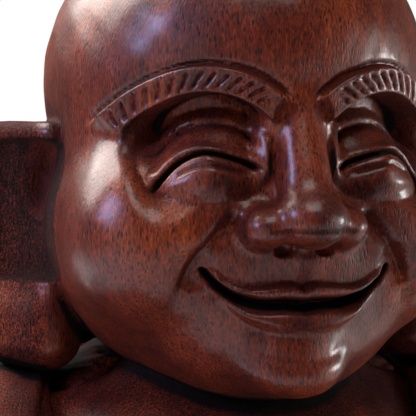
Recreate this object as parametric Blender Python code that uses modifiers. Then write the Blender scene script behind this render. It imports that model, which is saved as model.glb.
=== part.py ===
"""A seated laughing figure, carved from one block of dark red hardwood.

Every form of the figure is a ball, a limb or a slab. A voxel remesh joins them into one rough block,
as a carver roughs one out. The block's surface is then cut back to the figure's own surface, which is
the same forms blended into each other, with the robe's edges and folds and the relief of the face.

Sizes are in millimetres until the last step, which centres the figure's box on the origin and writes
the mesh in metres. The figure faces -Y, its flat underside lies on z = 0, and +X is its own left.
"""

import math

import bmesh
import bpy
import numpy as np
from mathutils import Matrix, Vector

MM = 0.001

# Head
HEAD_WIDTH = 93.0
HEAD_HEIGHT = 113.0
HEAD_DEPTH = 102.0
EAR_LENGTH = 57.0
EAR_WIDTH = 24.0
EAR_THICKNESS = 12.0
MOUTH_DEPTH = 3.6
LIP_PARTING = 1.2

# Body: heights are above the base, spreads are to one side of the middle
CHIN_HEIGHT = 152.0
SHOULDER_SPREAD = 61.0
SHOULDER_HEIGHT = 134.0
ELBOW_SPREAD = 90.0
ELBOW_HEIGHT = 88.0
KNEE_SPREAD = 88.0
KNEE_HEIGHT = 28.0
LAP_DEPTH = 78.0
BELLY_WIDTH = 120.0
BELLY_HEIGHT = 100.0
BELLY_REACH = 76.0

# Robe
CLOTH_THICKNESS = 3.4
CLOTH_SINK = 2.5
FOLD_DEPTH = 2.6
LAPEL_ROLL = 5.2
SASH_ROLL = 6.0
SLEEVE_MOUTH = 20.0
SLEEVE_WALL = 3.2

# Fineness of the surface
BLOCK_VOXEL = 3.4
CARVING_VOXEL = 2.2
TRIANGLES = 11800

PAIR = np.array((-1, 1, 1))


class Ball:
    """An ellipsoid."""

    def __init__(self, centre, radii, paired=False):
        self.centre, self.radii = np.array(centre, float), np.array(radii, float)
        self.middle, self.reach, self.paired = self.centre, float(self.radii.max()), paired

    def distance(self, p):
        q = (p - self.centre) / self.radii
        near = np.sqrt((q**2).sum(1))
        slope = np.sqrt(((q / self.radii) ** 2).sum(1))
        return near * (near - 1) / np.maximum(slope, 1e-9)

    def rough_out(self, bm):
        shape = Matrix.Translation(self.centre) @ Matrix.Diagonal((*self.radii, 1))
        bmesh.ops.create_icosphere(bm, subdivisions=4, radius=1, matrix=shape)


class Limb:
    """A rod with round ends whose radius runs evenly from one end to the other."""

    def __init__(self, start, end, start_radius, end_radius, paired=False):
        self.start, self.end = np.array(start, float), np.array(end, float)
        self.radii, self.paired = (float(start_radius), float(end_radius)), paired
        self.middle = (self.start + self.end) / 2
        self.reach = float(np.linalg.norm(self.end - self.start)) / 2 + max(self.radii)

    def distance(self, p):
        run = self.end - self.start
        share = np.clip(((p - self.start) @ run) / (run @ run), 0, 1)
        gap = np.linalg.norm(p - self.start - share[:, None] * run, axis=1)
        return gap - (self.radii[0] + (self.radii[1] - self.radii[0]) * share)

    def rough_out(self, bm):
        for at, radius in zip((self.start, self.end), self.radii):
            bmesh.ops.create_icosphere(bm, subdivisions=3, radius=radius, matrix=Matrix.Translation(at))
        run = Vector(self.end - self.start)
        turn = run.to_track_quat("Z", "Y").to_matrix().to_4x4()
        bmesh.ops.create_cone(
            bm, cap_ends=True, segments=24, radius1=self.radii[0], radius2=self.radii[1],
            depth=run.length, matrix=Matrix.Translation(self.middle) @ turn,
        )


class Slab:
    """A block with rounded edges, turned about the upright axis."""

    def __init__(self, centre, half_sizes, rounding, turn, paired=False):
        self.centre, self.half = np.array(centre, float), np.array(half_sizes, float)
        self.rounding, self.turn, self.paired = rounding, turn, paired
        self.middle, self.reach = self.centre, float(np.linalg.norm(self.half))

    def distance(self, p):
        c, s = math.cos(self.turn), math.sin(self.turn)
        q = p - self.centre
        q = np.stack([q[:, 0] * c + q[:, 1] * s, q[:, 1] * c - q[:, 0] * s, q[:, 2]], 1)
        q = np.abs(q) - (self.half - self.rounding)
        outside = np.linalg.norm(np.maximum(q, 0), axis=1)
        return outside + np.minimum(q.max(1), 0) - self.rounding

    def rough_out(self, bm):
        place = Matrix.Translation(self.centre) @ Matrix.Rotation(self.turn, 4, "Z")
        bmesh.ops.create_cube(bm, size=2, matrix=place @ Matrix.Diagonal((*self.half, 1)))


class Cuff:
    """A short tube round an axis, whose wall hangs lower underneath."""

    def __init__(self, centre, axis, radius, length, wall_radius, droop, paired=False):
        self.middle, self.axis, self.paired = np.array(centre, float), np.array(axis, float), paired
        self.radius, self.half, self.wall_radius, self.droop = radius, length / 2, wall_radius, droop
        self.aside = np.cross(self.axis, (0, 0, 1))
        self.aside /= np.linalg.norm(self.aside)
        self.up = np.cross(self.aside, self.axis)
        self.reach = radius * (1 + droop) + self.half + wall_radius

    def stretch(self, gap):
        """How far out the wall lies in the direction of each gap from the axis, as a share of the radius."""
        rise = gap @ self.up
        out = np.maximum(np.hypot(gap @ self.aside, rise), 1e-6)
        return 1 + self.droop * np.clip(-rise / out, 0, 1)

    def distance(self, p):
        gap = p - self.middle
        out = np.hypot(gap @ self.aside, gap @ self.up) - self.radius * self.stretch(gap)
        beyond = np.maximum(np.abs(gap @ self.axis) - self.half, 0)
        return np.hypot(beyond, out) - self.wall_radius

    def rough_out(self, bm):
        section = [
            self.middle + (self.radius + out) * self.aside + along_axis * self.axis
            for out, along_axis in (
                (-self.wall_radius, -self.half), (self.wall_radius, -self.half),
                (self.wall_radius, self.half), (-self.wall_radius, self.half),
            )
        ]
        corners = [bm.verts.new(at) for at in section]
        sides = [bm.edges.new((corners[i - 1], corners[i])) for i in range(4)]
        bmesh.ops.spin(
            bm, geom=corners + sides, cent=self.middle, axis=self.axis, angle=2 * math.pi, steps=32, use_merge=True,
        )
        bmesh.ops.recalc_face_normals(bm, faces=bm.faces)
        for vert in bm.verts:
            gap = np.array(vert.co) - self.middle
            rise = (gap @ self.axis) * self.axis
            vert.co = self.middle + rise + self.stretch(gap[None])[0] * (gap - rise)


class Roll:
    """A round roll through a line of points."""

    def __init__(self, line, radius):
        self.limbs = [Limb(a, b, radius, radius) for a, b in zip(line[:-1], line[1:])]
        self.middle, self.paired = (line.min(0) + line.max(0)) / 2, False
        self.reach = float(np.linalg.norm(line - self.middle, axis=1).max()) + radius

    def distance(self, p):
        return combined(self.limbs, p, 0, np.full(len(p), 200.0), lambda a, b, _: np.minimum(a, b), 14.0)


def merged(a, b, width):
    """Two distances joined, with a fillet of this width where they meet."""
    share = np.clip(0.5 + 0.5 * (b - a) / width, 0, 1)
    return b + (a - b) * share - width * share * (1 - share)


def cut_from(a, b, width):
    """Distance a with b taken away."""
    return -merged(-a, b, width)


def combined(forms, p, width, found, how, margin):
    """The distance in found, joined to or cut by each form that comes near a point."""
    found = found.copy()
    for form in forms:
        for side in (p, p * PAIR) if form.paired else (p,):
            gap = side - form.middle
            near = np.einsum("ij,ij->i", gap, gap) < (form.reach + margin) ** 2
            if near.any():
                found[near] = how(found[near], form.distance(side[near]), width)
    return found


def blended(forms, p, width, start=None):
    """The forms joined to each other and to the distance in start."""
    nothing = np.full(len(p), 200.0)
    return combined(forms, p, width, nothing if start is None else start, merged, 14.0)


def carved(start, forms, p, width):
    return combined(forms, p, width, start, cut_from, 4.0)


def ramp(x, low, high):
    """0 below low, 1 above high and an even S between them."""
    t = np.clip((x - low) / (high - low), 0, 1)
    return t * t * (3 - 2 * t)


def dome(*shares):
    """1 at the middle, falling to 0 where the shares' squares add up to 1."""
    return np.clip(1 - sum(s**2 for s in shares), 0, 1) ** 0.7


def notch(gap, half_width):
    """The section of a gouge cut: 1 on the line, 0 at half_width."""
    return np.clip(1 - np.abs(gap) / half_width, 0, 1) ** 1.3


def course(points, per_span=4):
    """A smooth line through points."""
    p = np.array(points, float)
    p = np.vstack([2 * p[0] - p[1], p, 2 * p[-1] - p[-2]])
    t = np.linspace(0, 1, per_span, endpoint=False)[:, None]
    spans = []
    for a, b, c, d in zip(p[:-3], p[1:-2], p[2:-1], p[3:]):
        bend = 2 * a - 5 * b + 4 * c - d + t * (3 * (b - c) + d - a)
        spans.append(b + 0.5 * t * (c - a + t * bend))
    return np.vstack([*spans, p[-2:-1]])


def along(u, v, line, reach=7.0):
    """The gap from points in a plane to a line, their share of its length, and the gap signed + on its left."""
    best, share, signed = np.full(len(u), reach), np.zeros(len(u)), np.full(len(u), -reach)
    near = (u > line[:, 0].min() - reach) & (u < line[:, 0].max() + reach)
    near &= (v > line[:, 1].min() - reach) & (v < line[:, 1].max() + reach)
    at = np.stack([u[near], v[near]], 1)
    steps = np.linalg.norm(np.diff(line, axis=0), axis=1)
    before = np.concatenate([[0], np.cumsum(steps)])
    closest, part, side = np.full(len(at), 1e9), np.zeros(len(at)), np.zeros(len(at))
    for i, length in enumerate(steps):
        run = (line[i + 1] - line[i]) / length
        q = at - line[i]
        t = np.clip(q @ run, 0, length)
        gap = np.hypot(*(q - t[:, None] * run).T)
        nearer = gap < closest
        closest = np.where(nearer, gap, closest)
        part = np.where(nearer, (before[i] + t) / before[-1], part)
        side = np.where(nearer, np.sign(run[0] * q[:, 1] - run[1] * q[:, 0]), side)
    best[near], share[near], signed[near] = closest, part, closest * side
    return best, share, signed


def tapered(share, low=0.12, high=0.12):
    """1 along a stroke, falling to 0 at its two ends."""
    return ramp(share, 0, low) * ramp(1 - share, 0, high)


# The head, in its own frame: the origin is halfway up it, between the ears
WIDE, DEEP, TALL = HEAD_WIDTH / 2, HEAD_DEPTH / 2, HEAD_HEIGHT / 2
HEAD_CENTRE = np.array((0.0, -2.0, CHIN_HEIGHT + TALL))
CRANIUM = Ball((0, 4, TALL - 42.5), (WIDE - 2.5, DEEP - 2, 42.5))
FACE = Ball((0, -2, 38.5 - TALL), (WIDE - 0.5, DEEP - 7, 38.5))
CHEEK = Ball((WIDE - 22, -23, -19), (21, DEEP - 31, 21), paired=True)
JOWL = Ball((0, -20, 18 - TALL), (26, DEEP - 27, 18))
CHIN = Ball((0, 10 - DEEP, 9.5 - TALL), (9.5, 7, 6.5))
BROW_BONE = Ball((0, -12, 25), (33, DEEP - 17.5, 25))
SKULL = (CRANIUM, FACE, CHEEK, JOWL, BROW_BONE)

NOSE_BRIDGE = Limb((0, 9.5 - DEEP, 9), (0, 2.5 - DEEP, -12), 4.4, 6.0)
NOSE_TIP = Ball((0, -0.2 - DEEP, -14.8), (7.4, 7.2, 6.2))
NOSE_WING = Ball((8.8, 4.6 - DEEP, -16.6), (5.0, 6.4, 4.6), paired=True)
NOSE = (NOSE_BRIDGE, NOSE_TIP)

EAR_TURN = math.radians(50)
EAR_TOP = 5.5
EAR_HALF = EAR_LENGTH / 2
EAR_FACE = EAR_THICKNESS / 2
EAR_CENTRE = (WIDE + 0.5, 8, EAR_TOP - EAR_HALF)


def on_ear(width, out, up):
    """A point of the ear: across its width, out of its face and up from its centre."""
    c, s = math.cos(EAR_TURN), math.sin(EAR_TURN)
    x, y, z = EAR_CENTRE
    return (x + width * c + out * s, y + width * s - out * c, z + up)


EAR_SLAB = Slab(on_ear(0, 0, 4), (EAR_WIDTH / 2, EAR_FACE, EAR_HALF - 4), 3.0, EAR_TURN, paired=True)
EAR_LOBE = Slab(on_ear(-0.5, 0.5, 10 - EAR_HALF), (EAR_WIDTH / 2, EAR_FACE + 2.5, 10), 7.5, EAR_TURN, paired=True)
EAR_RECESS = Slab(on_ear(-2.2, EAR_FACE + 1, EAR_HALF - 20), (EAR_WIDTH / 2, 4, 16), 3.5, EAR_TURN, paired=True)
EAR_HOLLOW = Ball(on_ear(-1, EAR_FACE - 1, EAR_HALF - 13.5), (EAR_WIDTH / 2 - 2.5, EAR_FACE - 0.5, 9), paired=True)


# Lines of the face, as (out from the middle, up): one side, mirrored
BROW_LINE = course([(2.5, 6.5), (9, 11.8), (15, 14.4), (21, 15.0), (27, 13.4), (33, 9.2), (38, 2.5)])
LID_SLIT = course([(8, -4.8), (12.5, -2.6), (18.5, -1.2), (24.5, -2.2), (29.5, -4.9), (33, -7.4)])
LASH_LINE = course([(10, -5.6), (14, -4.9), (19, -4.4), (24, -4.9), (28, -6.3)])
LID_CREASE = course([(8.5, 0.2), (13, 3.6), (19, 5.0), (26, 3.8), (31.5, 0.2)])
EYE_BAG = course([(9.5, -8.4), (15.5, -10), (22.5, -9.8), (29.5, -7.6)])
SMILE_FOLD = course([(13.5, -13), (17.5, -17), (22.5, -23), (25.5, -30), (25.5, -36)])
LIP_LINE = course([(0, -33.4), (4, -33.0), (9, -33.0), (14, -31.6), (18.5, -29.0), (22, -25.6)])
UPPER_LIP = course([(0, -29.6), (2.5, -28.7), (6, -28.9), (11, -29.3), (16, -28.2), (21, -25.4)])
LOWER_LIP = course([(0, -39.8), (6, -39.2), (12, -36.6), (17, -32.0), (21, -27.0)])
CHIN_GROOVE = course([(0, -45.2), (7, -44.2), (12.5, -41.4)])
EYE = (19.5, -1.8)
DIMPLE = (23.6, -25.6)
BROW_HALF = 3.0


def brow_and_eye(across, up):
    """The raised brow, the socket cut in under it and the closed lid."""
    gap, share, above = along(across, up, BROW_LINE, 26.0)
    relief = 1.7 * ramp(BROW_HALF - gap, 0, 0.6) * tapered(share, 0.05, 0.1)
    relief -= 0.9 * notch(above - BROW_HALF - 0.3, 0.9) * tapered(share, 0.05, 0.1)
    hood = ramp(-above, BROW_HALF - 0.3, BROW_HALF + 1.3) * ramp(across, 6.5, 12) * ramp(-across, -37, -30)
    relief -= 6.2 * hood * ramp(above, -22, -7)
    relief += 4.6 * dome((across - EYE[0]) / 14.5, (up - EYE[1]) / 9.5)
    gap, share, above = along(across, up, LID_SLIT)
    relief -= 2.4 * notch(gap, 1.0) * tapered(share)
    relief += 0.9 * ramp(above, 0, 0.5) * ramp(-above, -3.2, -1.0) * tapered(share)
    gap, share, _ = along(across, up, LASH_LINE)
    relief -= 0.9 * notch(gap, 0.8) * tapered(share, 0.2, 0.2)
    gap, share, _ = along(across, up, LID_CREASE)
    relief -= 1.2 * notch(gap, 0.9) * tapered(share)
    gap, share, _ = along(across, up, EYE_BAG)
    return relief - 0.9 * notch(gap, 1.6) * tapered(share, 0.3, 0.3)


def smile(across, up):
    """The fold from nose to mouth corner, the groove above the lip and the one under it."""
    gap, share, inside = along(across, up, SMILE_FOLD, 13.0)
    relief = -2.6 * notch(gap, 2.4) * tapered(share, 0.1, 0.3)
    relief -= 1.4 * ramp(-inside, 0, 2) * ramp(inside, -12, -3) * tapered(share, 0.1, 0.3)
    relief -= 1.9 * dome((across - DIMPLE[0]) / 4.2, (up - DIMPLE[1]) / 4.2)
    relief -= 0.9 * notch(across, 2.0) * ramp(up, -28.6, -26.5) * ramp(-up, 20, 23)
    gap, share, _ = along(across, up, CHIN_GROOVE)
    return relief - 1.6 * notch(gap, 3.4) * ramp(1 - share, 0, 0.4)


def mouth(across, up):
    """Full lips, a little parted in a smile."""
    _, share, above_lip = along(across, up, LIP_LINE, 9.0)
    _, _, above_upper = along(across, up, UPPER_LIP)
    _, _, above_lower = along(across, up, LOWER_LIP)
    in_mouth = ramp(1 - share, 0.0, 0.12)
    upper = 2.1 * ramp(above_lip, 0, 2.4) * ramp(-above_upper, -0.5, 0.7)
    lower = 2.7 * ramp(-above_lip, 0, 2.8) * ramp(above_lower, -0.6, 1.8)
    parting = LIP_PARTING * (1 - share) ** 0.5 + 0.8
    return in_mouth * (upper + lower) - MOUTH_DEPTH * notch(above_lip, parting) * ramp(1 - share, 0, 0.08)


def face_relief(p):
    """How far the carving stands above the smooth head, for points in the head's own frame."""
    relief = np.zeros(len(p))
    front = p[:, 1] < -8
    near = p[front]
    across, forward, up = np.abs(near[:, 0]), -near[:, 1], near[:, 2]
    cut = brow_and_eye(across, up) + smile(across, up) + mouth(across, up)
    clear_of_nose = ramp(blended((*NOSE, NOSE_WING), near, 2.0), 0.2, 2.2)
    nostril = dome((across - 4.7) / 2.4, (up + 21.2) / 1.7)
    relief[front] = ramp(forward, 8, 20) * (clear_of_nose * cut - 1.8 * nostril)
    return relief


def head_surface(p):
    """Signed distance to the smooth head, for points in the head's own frame."""
    found = blended(SKULL, p, 7.0)
    found = blended((CHIN,), p, 5.0, found)
    found = blended(NOSE, p, 3.0, found)
    found = blended((NOSE_WING,), p, 2.6, found)
    ears = blended((EAR_SLAB,), p, 1.0)
    ears = carved(ears, (EAR_RECESS,), p, 0.9)
    ears = carved(ears, (EAR_HOLLOW,), p, 2.5)
    ears = blended((EAR_LOBE,), p, 2.0, ears)
    return merged(found, ears, 1.2)


# The trunk
BELLY = Ball((0, 54 - BELLY_REACH, 76), (BELLY_WIDTH / 2, 54, BELLY_HEIGHT / 2))
CHEST = Ball((0, -5, CHIN_HEIGHT - 29), (SHOULDER_SPREAD - 6, 38, 34))
BREAST = Ball((25, -26, CHIN_HEIGHT - 31), (23, 19, 16), paired=True)
NECK_SLOPE = Ball((0, 9, CHIN_HEIGHT - 14), (SHOULDER_SPREAD, 28, 24))
NECK = Limb((0, 8, CHIN_HEIGHT - 12), (0, 8, CHIN_HEIGHT + 26), 27, 27)
BACK = Ball((0, 20, SHOULDER_HEIGHT - 36), (SHOULDER_SPREAD + 2, 38, 58))
HIPS = Ball((0, 14, 36), (KNEE_SPREAD - 4, 58, 46))
NAVEL = Ball((0, 1 - BELLY_REACH, 72), (4.4, 6, 4))
COLLAR = Ball((0, 29, CHIN_HEIGHT - 2), (SHOULDER_SPREAD - 8, 16, 24))
TORSO = (BELLY, CHEST, NECK_SLOPE, NECK, COLLAR, BACK, HIPS)

# Sleeves, lap and legs, under the robe
SHOULDER = np.array((SHOULDER_SPREAD, 8, SHOULDER_HEIGHT))
ELBOW = np.array((ELBOW_SPREAD, 4, ELBOW_HEIGHT))
WRIST = np.array((KNEE_SPREAD - 6, -38, KNEE_HEIGHT + 40))
KNEE = np.array((KNEE_SPREAD, -40, KNEE_HEIGHT))
SHOULDER_CAP = Ball(SHOULDER - (3, 0, 4), (26, 27, 24), paired=True)
UPPER_SLEEVE = Limb(SHOULDER, ELBOW, 21, 22, paired=True)
THIGH = Limb((42, 4, KNEE_HEIGHT + 8), KNEE, 36, 31, paired=True)
SHIN = Limb(KNEE - (2, 4, 6), (12, 8 - LAP_DEPTH, 16), 25, 19, paired=True)
LAP = Ball((0, 40 - LAP_DEPTH, 22), (62, 38, 24))
GUSSET = Limb(
    (BELLY_WIDTH / 2 - 12, 6, SHOULDER_HEIGHT - 16), (ELBOW_SPREAD - 20, -4, (ELBOW_HEIGHT + KNEE_HEIGHT) / 2 + 6),
    22, 23, paired=True,
)
ROBE_LIMBS = (SHOULDER_CAP, UPPER_SLEEVE, THIGH, SHIN, LAP, GUSSET)


# The sleeve, with its open end round the wrist
FOREARM_RUN = (WRIST - ELBOW) / np.linalg.norm(WRIST - ELBOW)
SLEEVE_END = WRIST - 20 * FOREARM_RUN
FOREARM_SLEEVE = Limb(ELBOW, SLEEVE_END, 21, SLEEVE_MOUTH - 1, paired=True)
SLEEVE_DROP = Limb((ELBOW_SPREAD, 0, ELBOW_HEIGHT - 16), SLEEVE_END - (-2, 0, 6), 18, 15, paired=True)
SLEEVE = (FOREARM_SLEEVE, SLEEVE_DROP)
CUFF = Cuff(WRIST - 7 * FOREARM_RUN, FOREARM_RUN, SLEEVE_MOUTH, 14, SLEEVE_WALL, 0.2, paired=True)
CUFF_BORE = SLEEVE_MOUTH - SLEEVE_WALL
SLEEVE_HOLLOW = [
    Limb(WRIST - 6 * FOREARM_RUN - drop * CUFF.up, WRIST + 20 * FOREARM_RUN - drop * CUFF.up, CUFF_BORE, CUFF_BORE, paired=True)
    for drop in (0, 0.2 * SLEEVE_MOUTH)
]

# Hands on the knees, and the feet at the front
FOREARM = Limb(SLEEVE_END, WRIST + 4 * FOREARM_RUN, 9, 8.2, paired=True)
PALM = Ball(WRIST + (-1, -16, -2), (13, 14, 8.5), paired=True)
KNUCKLES = [WRIST + (7 * i - 11.5, -24 - 2 * (i in (1, 2)), -3 - 0.8 * i) for i in range(4)]
JOINTS = [at + (0.5 * i - 0.8, -8.5, -4.5) for i, at in enumerate(KNUCKLES)]
FINGERS = [Limb(a, b, 4.3, 4.0, paired=True) for a, b in zip(KNUCKLES, JOINTS)]
FINGERS += [Limb(at, at + (0.2, -3.5 - (i in (1, 2)), -11 - (i in (1, 2))), 3.9, 3.4, paired=True) for i, at in enumerate(JOINTS)]
THUMB = Limb(WRIST + (-10, -12, -4), WRIST + (-18, -27, -11), 5, 4, paired=True)
FOOT = Ball((21, 3 - LAP_DEPTH, 9), (15, 17, 11), paired=True)
TOES = [
    Ball((10 + 7.4 * i - 0.5 * i * i, 0.55 * i * i - LAP_DEPTH - 11.5, 6.6 - 0.25 * i),
         (4.2 - 0.45 * i, 6.5 - 0.5 * i, 5.6 - 0.45 * i), paired=True)
    for i in range(5)
]


def laid_on(points, surface, lift):
    """Points brought onto a surface along its slope, then lifted off it."""
    p = np.array(points, float)
    probe = 0.05
    for _ in range(8):
        slope = np.stack([surface(p + probe * axis) - surface(p - probe * axis) for axis in np.eye(3)], 1)
        slope /= 2 * probe
        p -= ((surface(p) - lift) / np.maximum((slope**2).sum(1), 0.2))[:, None] * slope
    return p


def rolled_edge(points, radius, lift=1.0):
    """A roll of cloth laid along the trunk through points."""
    line = laid_on(course(points, 3), lambda p: blended(TORSO, p, 9.0), lift)
    for _ in range(3):
        line[1:-1] = (line[:-2] + 2 * line[1:-1] + line[2:]) / 4
    return Roll(line, radius)


# The robe's rolled edges: from behind the neck down to the lap, and the sash under the belly
NAPE = (0, 34, CHIN_HEIGHT + 20)
LAPEL_LEFT = (
    NAPE, (24, 30, 168), (44, 20, 160), (47, 0, 149), (40, -18, 141), (35, -36, 128),
    (38, -46, 112), (50, -50, 94), (57, -48, 76), (55, -48, 58), (44, -56, 42),
)
LAPEL_RIGHT = (
    NAPE, (-24, 30, 168), (-44, 20, 160), (-49, 0, 149), (-50, -16, 139), (-51, -30, 126),
    (-53, -38, 112), (-56, -46, 94), (-60, -46, 76), (-58, -46, 58), (-46, -56, 42),
)
SASH_LINE = ((-62, -22, 50), (-48, -50, 41), (-26, -68, 35), (0, -74, 33), (26, -68, 35), (48, -50, 41), (62, -22, 50))
LAPELS = (rolled_edge(LAPEL_LEFT, LAPEL_ROLL), rolled_edge(LAPEL_RIGHT, LAPEL_ROLL))
SASH = Roll(course(SASH_LINE, 3), SASH_ROLL)

def opening_edge(lapel):
    """Heights and half-widths of the robe's front opening along a lapel, closed at the sash."""
    line = np.array([limb.end for limb in lapel.limbs])[::-1]
    return np.append(34, np.maximum.accumulate(line[:, 2])), np.append(-6, np.abs(line[:, 0]))


OPENING_LEFT, OPENING_RIGHT = (opening_edge(lapel) for lapel in LAPELS)


def inside_opening(p):
    """How far inside the robe's front opening a point lies, seen from the front."""
    left, right = np.interp(p[:, 2], *OPENING_LEFT), np.interp(p[:, 2], *OPENING_RIGHT)
    inside = np.where(p[:, 0] > 0, left - p[:, 0], right + p[:, 0])
    return np.minimum(inside, (20 - p[:, 1]) * 0.8)


# Lines of the folds: on the back as (out, up), on the sleeves as (back, up), on the lap as (out, up)
BACK_FOLDS = (
    course([(0, 133), (18, 135), (34, 141), (46, 150)], 3),
    course([(0, 112), (20, 115), (40, 125), (56, 140)], 3),
    course([(0, 88), (18, 91), (38, 102), (58, 122)], 3),
    course([(0, 62), (16, 66), (36, 79), (56, 102)], 3),
    course([(0, 38), (20, 45), (40, 60), (60, 84)], 3),
    course([(0, 18), (24, 24), (48, 38), (66, 58)], 3),
)
SLEEVE_FOLDS = (
    course([(-8, 116), (4, 126), (14, 134), (24, 139)], 3),
    course([(-12, 107), (2, 112), (16, 117), (32, 119)], 3),
    course([(-14, 101), (0, 102), (14, 101), (32, 97)], 3),
    course([(-15, 96), (-2, 92), (10, 85), (24, 74)], 3),
    course([(-20, 90), (-10, 81), (-2, 70), (6, 56)], 3),
    course([(-30, 84), (-24, 75), (-19, 64), (-16, 54)], 3),
)
LAP_FOLDS = (
    course([(12, 46), (34, 47), (58, 53), (84, 58)], 3),
    course([(8, 38), (32, 37), (60, 41), (90, 45)], 3),
    course([(18, 29), (40, 27), (66, 29), (96, 32)], 3),
    course([(14, 19), (40, 16), (68, 17), (100, 20)], 3),
)


def crease(above, steep, gentle):
    """The section of a fold: a steep side under its line and a long slope over it."""
    return np.where(above > 0, notch(above, gentle), notch(above, steep))


def folds(p):
    """Depth of the robe's folds, from 0 between them to 1 on a fold's line."""
    across, back, up = np.abs(p[:, 0]), p[:, 1], p[:, 2]
    behind = ramp(back, 18, 32) * ramp(-across, -70, -56) * ramp(up, 8, 16)
    arm = ramp(across, 60, 72) * ramp(up, 50, 60)
    legs = ramp(-up, -60, -50) * ramp(-back, 20, 38) * ramp(up, 3, 8)
    depth = np.zeros(len(p))
    for lines, u, share in ((BACK_FOLDS, across, behind), (SLEEVE_FOLDS, back, arm), (LAP_FOLDS, across, legs)):
        there = share > 0
        for line in lines:
            _, part, above = along(u[there], up[there], line, 9.0)
            cut = crease(above, 2.0, 8.0) * ramp(1 - part, 0, 0.2)
            if line[0, 0] > 0 or u is back:
                cut = cut * ramp(part, 0, 0.15)
            depth[there] = np.maximum(depth[there], share[there] * cut)
    return depth


def body_surface(p):
    """Signed distance to the body and its robe."""
    torso = blended(TORSO, p, 9.0)
    skin = blended((BREAST,), p, 3.0, torso)
    skin = carved(skin, (NAVEL,), p, 1.5)
    cloth = torso + CLOTH_SINK - (CLOTH_THICKNESS + CLOTH_SINK) * ramp(-inside_opening(p), -3, 1)
    cloth = blended(ROBE_LIMBS, p, 10.0, cloth)
    sleeves = blended((CUFF,), p, 2.5, blended(SLEEVE, p, 5.0))
    sleeves = carved(sleeves, SLEEVE_HOLLOW, p, 1.0)
    cloth = merged(cloth, sleeves, 4.0) + FOLD_DEPTH * folds(p)
    lapels = blended(LAPELS, p, 1.0)
    body = merged(skin, cloth, 0.8)
    body = merged(body, lapels, 0.9)
    body = blended((SASH,), p, 1.2, body)
    body = blended((FOREARM, PALM, THUMB), p, 3.0, body)
    return blended((*FINGERS, FOOT, *TOES), p, 1.0, body)


def statue_surface(p):
    """Signed distance to the whole figure, cut flat underneath."""
    body = body_surface(p)
    near_head = p[:, 2] > CHIN_HEIGHT - 25
    on_head = p[near_head] - HEAD_CENTRE
    head = head_surface(on_head) - face_relief(on_head)
    body[near_head] = merged(body[near_head], head, 0.9)
    return cut_from(body, p[:, 2], 1.0)


HEAD_FORMS = (*SKULL, CHIN, *NOSE, NOSE_WING, EAR_SLAB, EAR_LOBE)
HAND_AND_FOOT = (FOREARM, PALM, THUMB, *FINGERS, FOOT, *TOES)
ROLLS = [limb for roll in (*LAPELS, SASH) for limb in roll.limbs]
BODY_FORMS = (*TORSO, BREAST, *ROBE_LIMBS, *SLEEVE, CUFF, *ROLLS, *HAND_AND_FOOT)


def rough_block(name):
    """All the forms as closed shells in one object."""
    whole = bmesh.new()
    for forms, place in ((HEAD_FORMS, HEAD_CENTRE), (BODY_FORMS, (0, 0, 0))):
        for form in forms:
            shell = bmesh.new()
            form.rough_out(shell)
            if form.paired:
                bmesh.ops.mirror(shell, geom=shell.verts[:] + shell.edges[:] + shell.faces[:], axis="X")
            bmesh.ops.translate(shell, verts=shell.verts, vec=place)
            part = bpy.data.meshes.new("form")
            shell.to_mesh(part)
            shell.free()
            whole.from_mesh(part)
            bpy.data.meshes.remove(part)
    mesh = bpy.data.meshes.new(name)
    whole.to_mesh(mesh)
    whole.free()
    block = bpy.data.objects.new(name, mesh)
    bpy.context.scene.collection.objects.link(block)
    return block


def settle(obj):
    """The object's modifiers worked into its mesh."""
    graph = bpy.context.evaluated_depsgraph_get()
    mesh = bpy.data.meshes.new_from_object(obj.evaluated_get(graph))
    obj.modifiers.clear()
    old, obj.data = obj.data, mesh
    bpy.data.meshes.remove(old)


def remesh(obj, voxel):
    modifier = obj.modifiers.new("Voxels", "REMESH")
    modifier.mode = "VOXEL"
    modifier.voxel_size = voxel
    settle(obj)
    keep_largest(obj)


def keep_largest(obj):
    """Loose crumbs and the walls of shut-in hollows dropped, as solid wood has neither."""
    bm = bmesh.new()
    bm.from_mesh(obj.data)
    unseen, pieces = set(bm.verts), []
    while unseen:
        piece, edge_of_piece = set(), [unseen.pop()]
        while edge_of_piece:
            vert = edge_of_piece.pop()
            piece.add(vert)
            fresh = [edge.other_vert(vert) for edge in vert.link_edges if edge.other_vert(vert) in unseen]
            unseen.difference_update(fresh)
            edge_of_piece += fresh
        pieces.append(piece)
    pieces.sort(key=len)
    bmesh.ops.delete(bm, geom=[vert for piece in pieces[:-1] for vert in piece], context="VERTS")
    bm.to_mesh(obj.data)
    bm.free()


def of_points(mesh, what):
    """A vector of each of the mesh's points: co or normal."""
    flat = np.empty(len(mesh.vertices) * 3)
    mesh.vertices.foreach_get(what, flat)
    return flat.reshape(-1, 3)


def set_points(mesh, points):
    mesh.vertices.foreach_set("co", points.ravel())
    mesh.update()


def cut_to(mesh, surface, longest=1.5):
    """Each point that is off the surface moved straight towards it."""
    probe = 0.02
    points = of_points(mesh, "co")
    here = surface(points)
    off = np.abs(here) > 0.005
    start, here = points[off], here[off]
    slope = np.stack([surface(start + probe * axis) - here for axis in np.eye(3)], 1) / probe
    move = -here[:, None] * slope / np.maximum((slope**2).sum(1), 0.3)[:, None]
    length = np.linalg.norm(move, axis=1)
    points[off] += move * (longest / np.maximum(length, longest))[:, None]
    set_points(mesh, points)


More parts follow.
